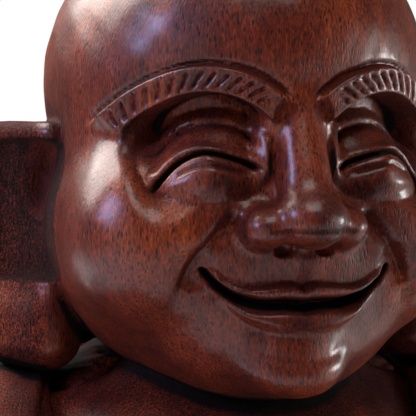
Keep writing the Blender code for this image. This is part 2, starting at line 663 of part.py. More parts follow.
def even_out(mesh, share=0.5):
    """Each point moved towards the middle of its neighbours, along the surface."""
    points, normals = of_points(mesh, "co"), of_points(mesh, "normal")
    ends = np.empty(len(mesh.edges) * 2, np.int64)
    mesh.edges.foreach_get("vertices", ends)
    here, there = np.vstack([ends.reshape(-1, 2), ends.reshape(-1, 2)[:, ::-1]]).T
    count = np.bincount(here, minlength=len(points))
    middle = np.stack([np.bincount(here, points[there, axis], len(points)) for axis in range(3)], 1)
    pull = middle / np.maximum(count, 1)[:, None] - points
    pull -= (pull * normals).sum(1)[:, None] * normals
    set_points(mesh, points + share * pull)


def carve(obj, rounds):
    """The surface cut back to the figure's, with its points kept evenly spread."""
    for _ in range(rounds):
        cut_to(obj.data, statue_surface)
        even_out(obj.data)
    cut_to(obj.data, statue_surface)


def refine(obj, wanted):
    """Each face that is wanted cut in four, given the middles of the faces."""
    bm = bmesh.new()
    bm.from_mesh(obj.data)
    middles = np.array([face.calc_center_median() for face in bm.faces])
    chosen = [face for face, yes in zip(bm.faces, wanted(middles)) if yes]
    edges = list({edge for face in chosen for edge in face.edges})
    bmesh.ops.subdivide_edges(bm, edges=edges, cuts=1, use_grid_fill=True)
    bmesh.ops.triangulate(bm, faces=[face for face in bm.faces if len(face.verts) > 4])
    bm.to_mesh(obj.data)
    bm.free()


def holds_features(middles):
    """The part of the face that holds brows, eyes, nose and mouth."""
    across, back, up = (middles - HEAD_CENTRE).T
    return (np.abs(across) < 40) & (np.abs(up + 14) < 34) & (back < -18)


def holds_fine_lines(middles):
    """The lids and the lips."""
    across, back, up = (middles - HEAD_CENTRE).T
    lids = (np.abs(np.abs(across) - 20) < 15) & (np.abs(up + 1.5) < 9)
    lips = (np.abs(across) < 24) & (np.abs(up + 33) < 9)
    return (lids | lips) & (back < -24)


def dark_red_hardwood():
    material = bpy.data.materials.new("polished dark red hardwood")
    material.use_nodes = True
    shader = material.node_tree.nodes["Principled BSDF"]
    shader.inputs["Base Color"].default_value = (0.085, 0.017, 0.010, 1)
    shader.inputs["Roughness"].default_value = 0.3
    shader.inputs["Metallic"].default_value = 0
    return material


def main():
    for old in list(bpy.data.objects):
        bpy.data.objects.remove(old)
    statue = rough_block("statue")
    remesh(statue, BLOCK_VOXEL)
    carve(statue, 4)
    remesh(statue, CARVING_VOXEL)
    carve(statue, 2)
    refine(statue, holds_features)
    carve(statue, 2)
    refine(statue, holds_fine_lines)
    carve(statue, 3)
    fewer = statue.modifiers.new("Fewer faces", "DECIMATE")
    fewer.ratio = TRIANGLES / (2 * len(statue.data.vertices))
    fewer.use_collapse_triangulate = True
    settle(statue)
    points = of_points(statue.data, "co")
    points[:, 2] = np.where(points[:, 2] < 0.4, 0, points[:, 2])
    points[:, :2] -= (points.min(0) + points.max(0))[:2] / 2
    set_points(statue.data, points * MM)
    statue.data.materials.clear()
    statue.data.materials.append(dark_red_hardwood())
    statue.data.shade_smooth()


main()
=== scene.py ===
"""The looks of the seated laughing figure: its carving at full fineness, and its polished hardwood.

The head and the body are carved apart, each from its own block, and meet in the crease under the jaw.
Sizes are in millimetres in the figure's own place until a mesh is finished, and then it is moved to
where the solid stands and made metres. The figure faces -Y and +X is its own left.
"""

import math

import bmesh
import bpy
import numpy as np
from mathutils import Matrix, Vector


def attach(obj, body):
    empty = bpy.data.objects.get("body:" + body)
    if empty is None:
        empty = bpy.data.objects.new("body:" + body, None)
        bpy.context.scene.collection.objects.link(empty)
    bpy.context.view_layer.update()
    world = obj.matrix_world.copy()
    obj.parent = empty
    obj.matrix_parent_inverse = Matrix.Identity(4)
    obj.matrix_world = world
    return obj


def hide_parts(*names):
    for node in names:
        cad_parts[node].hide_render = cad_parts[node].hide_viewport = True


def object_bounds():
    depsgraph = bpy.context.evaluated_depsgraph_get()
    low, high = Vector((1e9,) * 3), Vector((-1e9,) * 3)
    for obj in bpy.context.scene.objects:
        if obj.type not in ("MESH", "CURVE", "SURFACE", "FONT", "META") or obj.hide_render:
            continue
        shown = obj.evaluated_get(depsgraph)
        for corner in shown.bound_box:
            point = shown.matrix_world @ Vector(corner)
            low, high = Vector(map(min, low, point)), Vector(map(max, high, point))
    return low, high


MM = 0.001

# Fineness: the blocks' voxels and a piece's triangles, of which a face cut in four adds up to twelve
ROUGH_VOXEL = 2.4
HEAD_VOXEL = 0.88
BODY_VOXEL = 1.62
MOST_TRIANGLES = 194000
TRIANGLES_PER_CUT = 12
FIRST_CUTS = 0.55
FEWEST_CUTS = 100
FINE_ENOUGH = 0.01

# Head
HEAD_WIDTH = 93.0
HEAD_HEIGHT = 113.0
HEAD_DEPTH = 102.0
EAR_LENGTH = 57.0
EAR_WIDTH = 22.0
EAR_THICKNESS = 12.0
MOUTH_DEPTH = 3.6
LIP_PARTING = 1.2

# Body: heights are above the base, spreads are to one side of the middle
CHIN_HEIGHT = 152.0
SHOULDER_SPREAD = 61.0
SHOULDER_HEIGHT = 134.0
ELBOW_SPREAD = 90.0
ELBOW_HEIGHT = 88.0
KNEE_SPREAD = 88.0
KNEE_HEIGHT = 28.0
LAP_DEPTH = 78.0
BELLY_WIDTH = 120.0
BELLY_HEIGHT = 100.0
BELLY_REACH = 76.0

# Robe
CLOTH_THICKNESS = 3.4
CLOTH_SINK = 2.5
FOLD_DEPTH = 2.6
LAPEL_ROLL = 5.2
UNDERCUT = 1.1
SASH_ROLL = 6.0
SLEEVE_MOUTH = 20.0
SLEEVE_WALL = 3.2
CUFF_LINE = 3.5

PAIR = np.array((-1, 1, 1))

# The distance of a point with no form near it, and how near a form has to come to count
FAR_OFF = 200.0
BLEND_MARGIN = 14.0
CUT_MARGIN = 4.0


# The forms: each knows its signed distance to points, and roughs itself out as a closed shell

class Ball:
    """An egg or a ball, with its own radius along each axis."""

    def __init__(self, centre, radii, paired=False):
        self.centre, self.radii = np.array(centre, float), np.array(radii, float)
        self.middle, self.reach, self.paired = self.centre, float(self.radii.max()), paired

    def distance(self, p):
        q = (p - self.centre) / self.radii
        near = np.sqrt((q**2).sum(1))
        slope = np.sqrt(((q / self.radii) ** 2).sum(1))
        return near * (near - 1) / np.maximum(slope, 1e-9)

    def rough_out(self, bm):
        shape = Matrix.Translation(self.centre) @ Matrix.Diagonal((*self.radii, 1))
        bmesh.ops.create_icosphere(bm, subdivisions=4, radius=1, matrix=shape)


class Limb:
    """A rod with round ends whose radius runs evenly from one end to the other."""

    def __init__(self, start, end, start_radius, end_radius, paired=False):
        self.start, self.end = np.array(start, float), np.array(end, float)
        self.radii, self.paired = (float(start_radius), float(end_radius)), paired
        self.middle = (self.start + self.end) / 2
        self.reach = float(np.linalg.norm(self.end - self.start)) / 2 + max(self.radii)

    def distance(self, p):
        run = self.end - self.start
        share = np.clip(((p - self.start) @ run) / (run @ run), 0, 1)
        gap = np.linalg.norm(p - self.start - share[:, None] * run, axis=1)
        return gap - (self.radii[0] + (self.radii[1] - self.radii[0]) * share)

    def rough_out(self, bm):
        for at, radius in zip((self.start, self.end), self.radii):
            bmesh.ops.create_icosphere(bm, subdivisions=3, radius=radius, matrix=Matrix.Translation(at))
        run = Vector(self.end - self.start)
        turn = run.to_track_quat("Z", "Y").to_matrix().to_4x4()
        bmesh.ops.create_cone(
            bm, cap_ends=True, segments=24, radius1=self.radii[0], radius2=self.radii[1],
            depth=run.length, matrix=Matrix.Translation(self.middle) @ turn,
        )


class Slab:
    """A block with rounded edges, turned about the upright axis."""

    def __init__(self, centre, half_sizes, rounding, turn, paired=False):
        self.centre, self.half = np.array(centre, float), np.array(half_sizes, float)
        self.rounding, self.turn, self.paired = rounding, turn, paired
        self.middle, self.reach = self.centre, float(np.linalg.norm(self.half))

    def distance(self, p):
        c, s = math.cos(self.turn), math.sin(self.turn)
        q = p - self.centre
        q = np.stack([q[:, 0] * c + q[:, 1] * s, q[:, 1] * c - q[:, 0] * s, q[:, 2]], 1)
        q = np.abs(q) - (self.half - self.rounding)
        outside = np.linalg.norm(np.maximum(q, 0), axis=1)
        return outside + np.minimum(q.max(1), 0) - self.rounding

    def rough_out(self, bm):
        place = Matrix.Translation(self.centre) @ Matrix.Rotation(self.turn, 4, "Z")
        bmesh.ops.create_cube(bm, size=2, matrix=place @ Matrix.Diagonal((*self.half, 1)))


class Cuff:
    """A short tube round an axis, whose wall hangs lower underneath."""

    def __init__(self, centre, axis, radius, length, wall_radius, droop, paired=False):
        self.middle, self.axis, self.paired = np.array(centre, float), np.array(axis, float), paired
        self.radius, self.half, self.wall_radius, self.droop = radius, length / 2, wall_radius, droop
        self.aside = np.cross(self.axis, (0, 0, 1))
        self.aside /= np.linalg.norm(self.aside)
        self.up = np.cross(self.aside, self.axis)
        self.reach = radius * (1 + droop) + self.half + wall_radius

    def stretch(self, gap):
        """How far out the wall lies on each point's side of the axis, as a share of the radius."""
        rise = gap @ self.up
        out = np.maximum(np.hypot(gap @ self.aside, rise), 1e-6)
        return 1 + self.droop * np.clip(-rise / out, 0, 1)

    def distance(self, p):
        gap = p - self.middle
        out = np.hypot(gap @ self.aside, gap @ self.up) - self.radius * self.stretch(gap)
        beyond = np.maximum(np.abs(gap @ self.axis) - self.half, 0)
        return np.hypot(beyond, out) - self.wall_radius

    def rough_out(self, bm):
        section = [
            self.middle + (self.radius + out) * self.aside + along_axis * self.axis
            for out, along_axis in (
                (-self.wall_radius, -self.half), (self.wall_radius, -self.half),
                (self.wall_radius, self.half), (-self.wall_radius, self.half),
            )
        ]
        corners = [bm.verts.new(at) for at in section]
        sides = [bm.edges.new((corners[i - 1], corners[i])) for i in range(4)]
        bmesh.ops.spin(
            bm, geom=corners + sides, cent=self.middle, axis=self.axis,
            angle=2 * math.pi, steps=32, use_merge=True,
        )
        bmesh.ops.recalc_face_normals(bm, faces=bm.faces)
        for vert in bm.verts:
            gap = np.array(vert.co) - self.middle
            rise = (gap @ self.axis) * self.axis
            vert.co = self.middle + rise + self.stretch(gap[None])[0] * (gap - rise)


class Roll:
    """A round roll through a line of points."""

    def __init__(self, line, radius):
        self.limbs = [Limb(a, b, radius, radius) for a, b in zip(line[:-1], line[1:])]
        self.middle, self.paired = (line.min(0) + line.max(0)) / 2, False
        self.reach = float(np.linalg.norm(line - self.middle, axis=1).max()) + radius

    def distance(self, p):
        far_off = np.full(len(p), FAR_OFF)
        return combined(self.limbs, p, 0, far_off, lambda a, b, _: np.minimum(a, b), BLEND_MARGIN)


def merged(a, b, width):
    """Two distances joined, with a fillet of this width where they meet."""
    share = np.clip(0.5 + 0.5 * (b - a) / width, 0, 1)
    return b + (a - b) * share - width * share * (1 - share)


def cut_from(a, b, width):
    """Distance a with b taken away."""
    return -merged(-a, b, width)


def combined(forms, p, width, found, how, margin):
    """The distance in found, joined to or cut by each form that comes near a point."""
    found = found.copy()
    for form in forms:
        for side in (p, p * PAIR) if form.paired else (p,):
            gap = side - form.middle
            near = np.einsum("ij,ij->i", gap, gap) < (form.reach + margin) ** 2
            if near.any():
                found[near] = how(found[near], form.distance(side[near]), width)
    return found


def blended(forms, p, width, start=None):
    """The forms joined to each other and to the distance in start."""
    start = np.full(len(p), FAR_OFF) if start is None else start
    return combined(forms, p, width, start, merged, BLEND_MARGIN)


def carved(start, forms, p, width):
    """The distance in start with the forms taken away."""
    return combined(forms, p, width, start, cut_from, CUT_MARGIN)


def ramp(x, low, high):
    """0 below low, 1 above high and an even S between them."""
    t = np.clip((x - low) / (high - low), 0, 1)
    return t * t * (3 - 2 * t)


def dome(*shares):
    """1 at the middle, falling to 0 where the shares' squares add up to 1."""
    return np.clip(1 - sum(s**2 for s in shares), 0, 1) ** 0.7


def notch(gap, half_width):
    """The section of a gouge cut: 1 on the line, 0 at half_width."""
    return np.clip(1 - np.abs(gap) / half_width, 0, 1) ** 1.3


def course(points, per_span=4):
    """A smooth line through points."""
    p = np.array(points, float)
    p = np.vstack([2 * p[0] - p[1], p, 2 * p[-1] - p[-2]])
    t = np.linspace(0, 1, per_span, endpoint=False)[:, None]
    spans = []
    for a, b, c, d in zip(p[:-3], p[1:-2], p[2:-1], p[3:]):
        bend = 2 * a - 5 * b + 4 * c - d + t * (3 * (b - c) + d - a)
        spans.append(b + 0.5 * t * (c - a + t * bend))
    return np.vstack([*spans, p[-2:-1]])


def along(u, v, line, reach=7.0):
    """The gap from points in a plane to a line, the share of its length, and the gap, + on its left."""
    best, share, signed = np.full(len(u), reach), np.zeros(len(u)), np.full(len(u), -reach)
    near = (u > line[:, 0].min() - reach) & (u < line[:, 0].max() + reach)
    near &= (v > line[:, 1].min() - reach) & (v < line[:, 1].max() + reach)
    at = np.stack([u[near], v[near]], 1)
    steps = np.linalg.norm(np.diff(line, axis=0), axis=1)
    before = np.concatenate([[0], np.cumsum(steps)])
    closest, part, side = np.full(len(at), 1e9), np.zeros(len(at)), np.zeros(len(at))
    for i, length in enumerate(steps):
        run = (line[i + 1] - line[i]) / length
        q = at - line[i]
        t = np.clip(q @ run, 0, length)
        gap = np.hypot(*(q - t[:, None] * run).T)
        nearer = gap < closest
        closest = np.where(nearer, gap, closest)
        part = np.where(nearer, (before[i] + t) / before[-1], part)
        side = np.where(nearer, np.sign(run[0] * q[:, 1] - run[1] * q[:, 0]), side)
    best[near], share[near], signed[near] = closest, part, closest * side
    return best, share, signed


def tapered(share, low=0.12, high=0.12):
    """1 along a stroke, falling to 0 at its two ends."""
    return ramp(share, 0, low) * ramp(1 - share, 0, high)


# The head, in its own frame: the origin is halfway up it, between the ears
WIDE, DEEP, TALL = HEAD_WIDTH / 2, HEAD_DEPTH / 2, HEAD_HEIGHT / 2
HEAD_CENTRE = np.array((0.0, -2.0, CHIN_HEIGHT + TALL))
CRANIUM = Ball((0, 4, TALL - 42.5), (WIDE - 2.5, DEEP - 2, 42.5))
FACE = Ball((0, -2, 38.5 - TALL), (WIDE - 0.5, DEEP - 7, 38.5))
CHEEK = Ball((WIDE - 22, -23, -19), (21, DEEP - 31, 21), paired=True)
JOWL = Ball((0, -20, 18 - TALL), (26, DEEP - 27, 18))
CHIN = Ball((0, 10 - DEEP, 9.5 - TALL), (9.5, 7, 6.5))
BROW_BONE = Ball((0, -12, 25), (33, DEEP - 17.5, 25))
SKULL = (CRANIUM, FACE, CHEEK, JOWL, BROW_BONE)

NOSE_BRIDGE = Limb((0, 9.5 - DEEP, 9), (0, 2.5 - DEEP, -12), 4.4, 6.0)
NOSE_TIP = Ball((0, -0.2 - DEEP, -14.8), (7.4, 7.2, 6.2))
NOSE_WING = Ball((8.8, 4.6 - DEEP, -16.6), (5.0, 6.4, 4.6), paired=True)
NOSE = (NOSE_BRIDGE, NOSE_TIP)

EAR_TURN = math.radians(50)
EAR_TOP = 5.5
EAR_HALF = EAR_LENGTH / 2
EAR_FACE = EAR_THICKNESS / 2
EAR_CENTRE = (WIDE + 0.5, 8, EAR_TOP - EAR_HALF)


def on_ear(width, out, up):
    """A point of the ear: across its width, out of its face and up from its centre."""
    c, s = math.cos(EAR_TURN), math.sin(EAR_TURN)
    x, y, z = EAR_CENTRE
    return (x + width * c + out * s, y + width * s - out * c, z + up)


EAR_SLAB = Slab(
    on_ear(0, 0, 4), (EAR_WIDTH / 2, EAR_FACE, EAR_HALF - 4), 3.0, EAR_TURN, paired=True,
)
EAR_LOBE = Slab(
    on_ear(-0.5, 0.5, 10 - EAR_HALF), (EAR_WIDTH / 2, EAR_FACE + 2.5, 10), 7.5, EAR_TURN, paired=True,
)
EAR_RECESS = Slab(
    on_ear(-2.2, EAR_FACE + 1, EAR_HALF - 20), (EAR_WIDTH / 2, 4, 16), 3.5, EAR_TURN, paired=True,
)
EAR_HOLLOW = Ball(
    on_ear(-4, EAR_FACE - 1, EAR_HALF - 13.5), (EAR_WIDTH / 2, EAR_FACE - 0.5, 9), paired=True,
)

# Lines of the face, as (out from the middle, up): one side, mirrored
BROW_LINE = course([(2.5, 6.5), (9, 11.8), (15, 14.4), (21, 15.0), (27, 13.4), (33, 9.2), (38, 2.5)])
LID_SLIT = course([(8, -4.8), (12.5, -2.6), (18.5, -1.2), (24.5, -2.2), (29.5, -4.9), (33, -7.4)])
LASH_LINE = course([(10, -5.6), (14, -4.9), (19, -4.4), (24, -4.9), (28, -6.3)])
LID_CREASE = course([(8.5, 0.2), (13, 3.6), (19, 5.0), (26, 3.8), (31.5, 0.2)])
EYE_BAG = course([(9.5, -8.4), (15.5, -10), (22.5, -9.8), (29.5, -7.6)])
SMILE_FOLD = course([(13.5, -13), (17.5, -17), (22.5, -23), (25.5, -30), (25.5, -36)])
LIP_LINE = course([(0, -33.4), (4, -33.0), (9, -33.0), (14, -31.6), (18.5, -29.0), (22, -25.6)])
UPPER_LIP = course([(0, -29.6), (2.5, -28.7), (6, -28.9), (11, -29.3), (16, -28.2), (21, -25.4)])
LOWER_LIP = course([(0, -39.8), (6, -39.2), (12, -36.6), (17, -32.0), (21, -27.0)])
CHIN_GROOVE = course([(0, -45.2), (7, -44.2), (12.5, -41.4)])
EYE = (19.5, -1.8)
DIMPLE = (23.6, -25.6)
BROW_HALF = 3.0
BROW_HAIR = 2.9
BROW_LENGTH = 52.0
NOSTRIL = (4.7, -21.2)
MARK_DEPTH = 0.14


def brow_hairs(gap, share, above):
    """The row of slanting knife notches along the brow."""
    phase = (share * BROW_LENGTH + 0.75 * above) / BROW_HAIR
    valley = np.abs(phase - np.round(phase)) * BROW_HAIR
    within = ramp(BROW_HALF - 0.7 - gap, 0, 1.2) * ramp(share, 0.12, 0.2) * ramp(-share, -0.97, -0.9)
    return notch(valley, 0.95) * within


def brow_and_eye(across, up):
    """The raised brow, the socket cut in under it and the closed lid."""
    gap, share, above = along(across, up, BROW_LINE, 26.0)
    relief = 1.7 * ramp(BROW_HALF - gap, 0, 0.6) * tapered(share, 0.05, 0.1)
    relief -= 1.0 * brow_hairs(gap, share, above)
    relief -= 0.9 * notch(above - BROW_HALF - 0.3, 0.9) * tapered(share, 0.05, 0.1)
    hood = ramp(-above, BROW_HALF - 0.3, BROW_HALF + 1.3) * ramp(across, 6.5, 12) * ramp(-across, -37, -30)
    relief -= 6.2 * hood * ramp(above, -22, -7)
    relief += 4.6 * dome((across - EYE[0]) / 14.5, (up - EYE[1]) / 9.5)
    gap, share, above = along(across, up, LID_SLIT)
    relief -= 2.4 * notch(gap, 1.0) * tapered(share)
    relief += 0.9 * ramp(above, 0, 0.5) * ramp(-above, -3.2, -1.0) * tapered(share)
    gap, share, _ = along(across, up, LASH_LINE)
    relief -= 0.9 * notch(gap, 0.8) * tapered(share, 0.2, 0.2)
    gap, share, _ = along(across, up, LID_CREASE)
    relief -= 1.2 * notch(gap, 0.9) * tapered(share)
    gap, share, _ = along(across, up, EYE_BAG)
    return relief - 0.9 * notch(gap, 1.6) * tapered(share, 0.3, 0.3)


def smile(across, up):
    """The fold from nose to mouth corner, the groove above the lip and the one under it."""
    gap, share, inside = along(across, up, SMILE_FOLD, 13.0)
    relief = -2.6 * notch(gap, 2.4) * tapered(share, 0.1, 0.3)
    relief -= 1.4 * ramp(-inside, 0, 2) * ramp(inside, -12, -3) * tapered(share, 0.1, 0.3)
    relief -= 1.3 * dome((across - DIMPLE[0]) / 5.2, (up - DIMPLE[1]) / 5.2)
    relief -= 0.6 * notch(across, 2.6) * ramp(up, -29.2, -25.0) * ramp(-up, 19, 22)
    gap, share, _ = along(across, up, CHIN_GROOVE)
    return relief - 1.1 * notch(gap, 4.6) * ramp(1 - share, 0, 0.4)


def mouth(across, up):
    """Full lips, a little parted in a smile."""
    _, share, above_lip = along(across, up, LIP_LINE, 9.0)
    _, _, above_upper = along(across, up, UPPER_LIP)
    _, _, above_lower = along(across, up, LOWER_LIP)
    in_mouth = ramp(1 - share, 0.0, 0.12)
    upper = 2.1 * ramp(above_lip, 0, 2.4) * ramp(-above_upper, -0.5, 0.7)
    lower = 2.7 * ramp(-above_lip, 0, 2.8) * ramp(above_lower, -0.6, 1.8)
    parting = LIP_PARTING * (1 - share) ** 0.5 + 0.8
    return in_mouth * (upper + lower) - MOUTH_DEPTH * notch(above_lip, parting) * ramp(1 - share, 0, 0.08)


def tool_marks(p):
    """The slight waves that gouge and rasp leave under the polish."""
    waves = ((0.61, 0.23, 0.37), (-0.29, 0.52, 0.44), (0.17, -0.41, 0.68), (0.93, 0.35, -0.51))
    return MARK_DEPTH * sum(np.sin(p @ np.array(wave) + 1.7 * i) for i, wave in enumerate(waves)) / 4


def face_relief(p):
    """How far the carving stands above the smooth head, for points in the head's own frame."""
    relief = -tool_marks(p)
    front = p[:, 1] < -8
    near = p[front]
    across, forward, up = np.abs(near[:, 0]), -near[:, 1], near[:, 2]
    cut = brow_and_eye(across, up) + smile(across, up) + mouth(across, up)
    clear_of_nose = ramp(blended((*NOSE, NOSE_WING), near, 2.0), 0.2, 2.2)
    nostril = dome((across - NOSTRIL[0]) / 2.4, (up - NOSTRIL[1]) / 1.7)
    relief[front] += ramp(forward, 8, 20) * (clear_of_nose * cut - 1.8 * nostril)
    return relief


def head_surface(p):
    """Signed distance to the smooth head, for points in the head's own frame."""
    found = blended(SKULL, p, 7.0)
    found = blended((CHIN,), p, 8.0, found)
    found = blended(NOSE, p, 3.0, found)
    found = blended((NOSE_WING,), p, 2.6, found)
    ears = blended((EAR_SLAB,), p, 1.0)
    ears = carved(ears, (EAR_RECESS,), p, 0.9)
    ears = carved(ears, (EAR_HOLLOW,), p, 2.5)
    ears = blended((EAR_LOBE,), p, 2.0, ears)
    return merged(found, ears, 1.2)


# The trunk, with the fillet between its forms
TRUNK_FILLET = 9.0
BELLY = Ball((0, 54 - BELLY_REACH, 76), (BELLY_WIDTH / 2, 54, BELLY_HEIGHT / 2))
CHEST = Ball((0, -5, CHIN_HEIGHT - 29), (SHOULDER_SPREAD - 6, 38, 34))
BREAST = Ball((25, -26, CHIN_HEIGHT - 31), (23, 19, 16), paired=True)
NECK_SLOPE = Ball((0, 9, CHIN_HEIGHT - 14), (SHOULDER_SPREAD, 28, 24))
NECK = Limb((0, 8, CHIN_HEIGHT - 12), (0, 8, CHIN_HEIGHT + 26), 27, 27)
BACK = Ball((0, 20, SHOULDER_HEIGHT - 36), (SHOULDER_SPREAD + 2, 38, 58))
HIPS = Ball((0, 14, 36), (KNEE_SPREAD - 4, 58, 46))
NAVEL = Ball((0, 1 - BELLY_REACH, 72), (4.4, 6, 4))
COLLAR = Ball((0, 29, CHIN_HEIGHT - 2), (SHOULDER_SPREAD - 8, 16, 24))
DRILLED = Ball((36, 9, CHIN_HEIGHT + 6), (15, 12, 13), paired=True)
TORSO = (BELLY, CHEST, NECK_SLOPE, NECK, COLLAR, BACK, HIPS)

# Sleeves, lap and legs, under the robe
SHOULDER = np.array((SHOULDER_SPREAD, 8, SHOULDER_HEIGHT))
ELBOW = np.array((ELBOW_SPREAD, 4, ELBOW_HEIGHT))
WRIST = np.array((KNEE_SPREAD - 6, -38, KNEE_HEIGHT + 40))
KNEE = np.array((KNEE_SPREAD, -40, KNEE_HEIGHT))
SHOULDER_CAP = Ball(SHOULDER - (3, 0, 4), (26, 27, 24), paired=True)
UPPER_SLEEVE = Limb(SHOULDER, ELBOW, 21, 22, paired=True)
THIGH = Limb((42, 4, KNEE_HEIGHT + 8), KNEE, 36, 31, paired=True)
SHIN = Limb(KNEE - (2, 4, 6), (12, 8 - LAP_DEPTH, 16), 25, 19, paired=True)
LAP = Ball((0, 40 - LAP_DEPTH, 22), (62, 38, 24))
GUSSET = Limb(
    (BELLY_WIDTH / 2 - 12, 6, SHOULDER_HEIGHT - 16),
    (ELBOW_SPREAD - 20, -4, (ELBOW_HEIGHT + KNEE_HEIGHT) / 2 + 6),
    22, 23, paired=True,
)
ROBE_LIMBS = (SHOULDER_CAP, UPPER_SLEEVE, THIGH, SHIN, LAP, GUSSET)

# The sleeve, with its open end round the wrist
FOREARM_RUN = (WRIST - ELBOW) / np.linalg.norm(WRIST - ELBOW)
SLEEVE_END = WRIST - 20 * FOREARM_RUN
FOREARM_SLEEVE = Limb(ELBOW, SLEEVE_END, 21, SLEEVE_MOUTH - 1, paired=True)
SLEEVE_DROP = Limb((ELBOW_SPREAD, 0, ELBOW_HEIGHT - 16), SLEEVE_END - (-2, 0, 6), 18, 15, paired=True)
SLEEVE = (FOREARM_SLEEVE, SLEEVE_DROP)
CUFF_DROOP = 0.2
CUFF = Cuff(
    WRIST - 7 * FOREARM_RUN, FOREARM_RUN, SLEEVE_MOUTH, 14, SLEEVE_WALL, CUFF_DROOP, paired=True,
)
CUFF_BORE = SLEEVE_MOUTH - SLEEVE_WALL
SLEEVE_HOLLOW = [
    Limb(
        WRIST - 6 * FOREARM_RUN - drop * CUFF.up, WRIST + 20 * FOREARM_RUN - drop * CUFF.up,
        CUFF_BORE, CUFF_BORE, paired=True,
    )
    for drop in (0, CUFF_DROOP * SLEEVE_MOUTH)
]

# Hands on the knees, and the feet at the front
FOREARM = Limb(SLEEVE_END, WRIST + 4 * FOREARM_RUN, 9, 8.2, paired=True)
PALM = Ball(WRIST + (-1, -16, -2), (13, 14, 8.5), paired=True)
KNUCKLES = [WRIST + (7 * i - 11.5, -24 - 2 * (i in (1, 2)), -3 - 0.8 * i) for i in range(4)]
JOINTS = [at + (0.5 * i - 0.8, -8.5, -4.5) for i, at in enumerate(KNUCKLES)]
TIPS = [at + (0.2, -3.5 - (i in (1, 2)), -11 - (i in (1, 2))) for i, at in enumerate(JOINTS)]
FINGERS = [Limb(a, b, 4.3, 4.0, paired=True) for a, b in zip(KNUCKLES, JOINTS)]
FINGERS += [Limb(a, b, 3.9, 3.4, paired=True) for a, b in zip(JOINTS, TIPS)]
THUMB = Limb(WRIST + (-10, -12, -4), WRIST + (-18, -27, -11), 5, 4, paired=True)
FOOT = Ball((21, 3 - LAP_DEPTH, 9), (15, 17, 11), paired=True)
TOES = [
    Ball((10 + 7.4 * i - 0.5 * i * i, 0.55 * i * i - LAP_DEPTH - 11.5, 6.6 - 0.25 * i),
         (4.2 - 0.45 * i, 6.5 - 0.5 * i, 5.6 - 0.45 * i), paired=True)
    for i in range(5)
]


def laid_on(points, surface, lift):
    """Points brought onto a surface along its slope, then lifted off it."""
    p = np.array(points, float)
    probe = 0.05
    for _ in range(8):
        slope = np.stack([surface(p + probe * axis) - surface(p - probe * axis) for axis in np.eye(3)], 1)
        slope /= 2 * probe
        p -= ((surface(p) - lift) / np.maximum((slope**2).sum(1), 0.2))[:, None] * slope
    return p


def rolled_edge(points, radius, lift=1.0):
    """A roll of cloth laid along the trunk through points."""
    line = laid_on(course(points, 3), lambda p: blended(TORSO, p, TRUNK_FILLET), lift)
    for _ in range(3):
        line[1:-1] = (line[:-2] + 2 * line[1:-1] + line[2:]) / 4
    return Roll(line, radius)


# The robe's rolled edges: from behind the neck down to the lap, and the sash under the belly
NAPE = (0, 34, CHIN_HEIGHT + 20)
LAPEL_LEFT = (
    NAPE, (24, 30, 168), (44, 20, 160), (47, 0, 149), (40, -18, 141), (35, -36, 128),
    (38, -46, 112), (50, -50, 94), (57, -48, 76), (55, -48, 58), (44, -56, 42),
)
LAPEL_RIGHT = (
    NAPE, (-24, 30, 168), (-44, 20, 160), (-49, 0, 149), (-50, -16, 139), (-51, -30, 126),
    (-53, -38, 112), (-56, -46, 94), (-60, -46, 76), (-58, -46, 58), (-46, -56, 42),
)
SASH_HEIGHT, CLOSED_BY = 34, -6
SASH_LINE = (
    (-62, -22, 50), (-48, -50, 41), (-26, -68, 35), (0, -74, 33),
    (26, -68, 35), (48, -50, 41), (62, -22, 50),
)
LAPELS = (rolled_edge(LAPEL_LEFT, LAPEL_ROLL), rolled_edge(LAPEL_RIGHT, LAPEL_ROLL))
SASH = Roll(course(SASH_LINE, 3), SASH_ROLL)


def opening_edge(lapel):
    """Heights and half-widths of the robe's front opening along a lapel, closed at the sash."""
    line = np.array([limb.end for limb in lapel.limbs])[::-1]
    heights, half_widths = np.maximum.accumulate(line[:, 2]), np.abs(line[:, 0])
    return np.append(SASH_HEIGHT, heights), np.append(CLOSED_BY, half_widths)


OPENING_LEFT, OPENING_RIGHT = (opening_edge(lapel) for lapel in LAPELS)


def inside_opening(p):
    """How far inside the robe's front opening a point lies, seen from the front."""
    left, right = np.interp(p[:, 2], *OPENING_LEFT), np.interp(p[:, 2], *OPENING_RIGHT)
    inside = np.where(p[:, 0] > 0, left - p[:, 0], right + p[:, 0])
    return np.minimum(inside, (20 - p[:, 1]) * 0.8)


# Lines of the folds: on the back as (out, up), on the sleeves as (back, up), on the lap as (out, up)
BACK_FOLDS = (
    course([(0, 133), (18, 135), (34, 141), (46, 150)], 3),
    course([(0, 112), (20, 115), (40, 125), (56, 140)], 3),
    course([(0, 88), (18, 91), (38, 102), (58, 122)], 3),
    course([(0, 62), (16, 66), (36, 79), (56, 102)], 3),
    course([(0, 38), (20, 45), (40, 60), (60, 84)], 3),
    course([(0, 18), (24, 24), (48, 38), (66, 58)], 3),
)
SLEEVE_FOLDS = (
    course([(-8, 116), (4, 126), (14, 134), (24, 139)], 3),
    course([(-12, 107), (2, 112), (16, 117), (32, 119)], 3),
    course([(-14, 101), (0, 102), (14, 101), (32, 97)], 3),
    course([(-15, 96), (-2, 92), (10, 85), (24, 74)], 3),
    course([(-20, 90), (-10, 81), (-2, 70), (6, 56)], 3),
    course([(-30, 84), (-24, 75), (-19, 64), (-16, 54)], 3),
)
LAP_FOLDS = (
    course([(12, 46), (34, 47), (58, 53), (84, 58)], 3),
    course([(8, 38), (32, 37), (60, 41), (90, 45)], 3),
    course([(18, 29), (40, 27), (66, 29), (96, 32)], 3),
    course([(14, 19), (40, 16), (68, 17), (100, 20)], 3),
)


def crease(above, steep, gentle):
    """The section of a fold: a steep side under its line and a long slope over it."""
    return np.where(above > 0, notch(above, gentle), notch(above, steep))


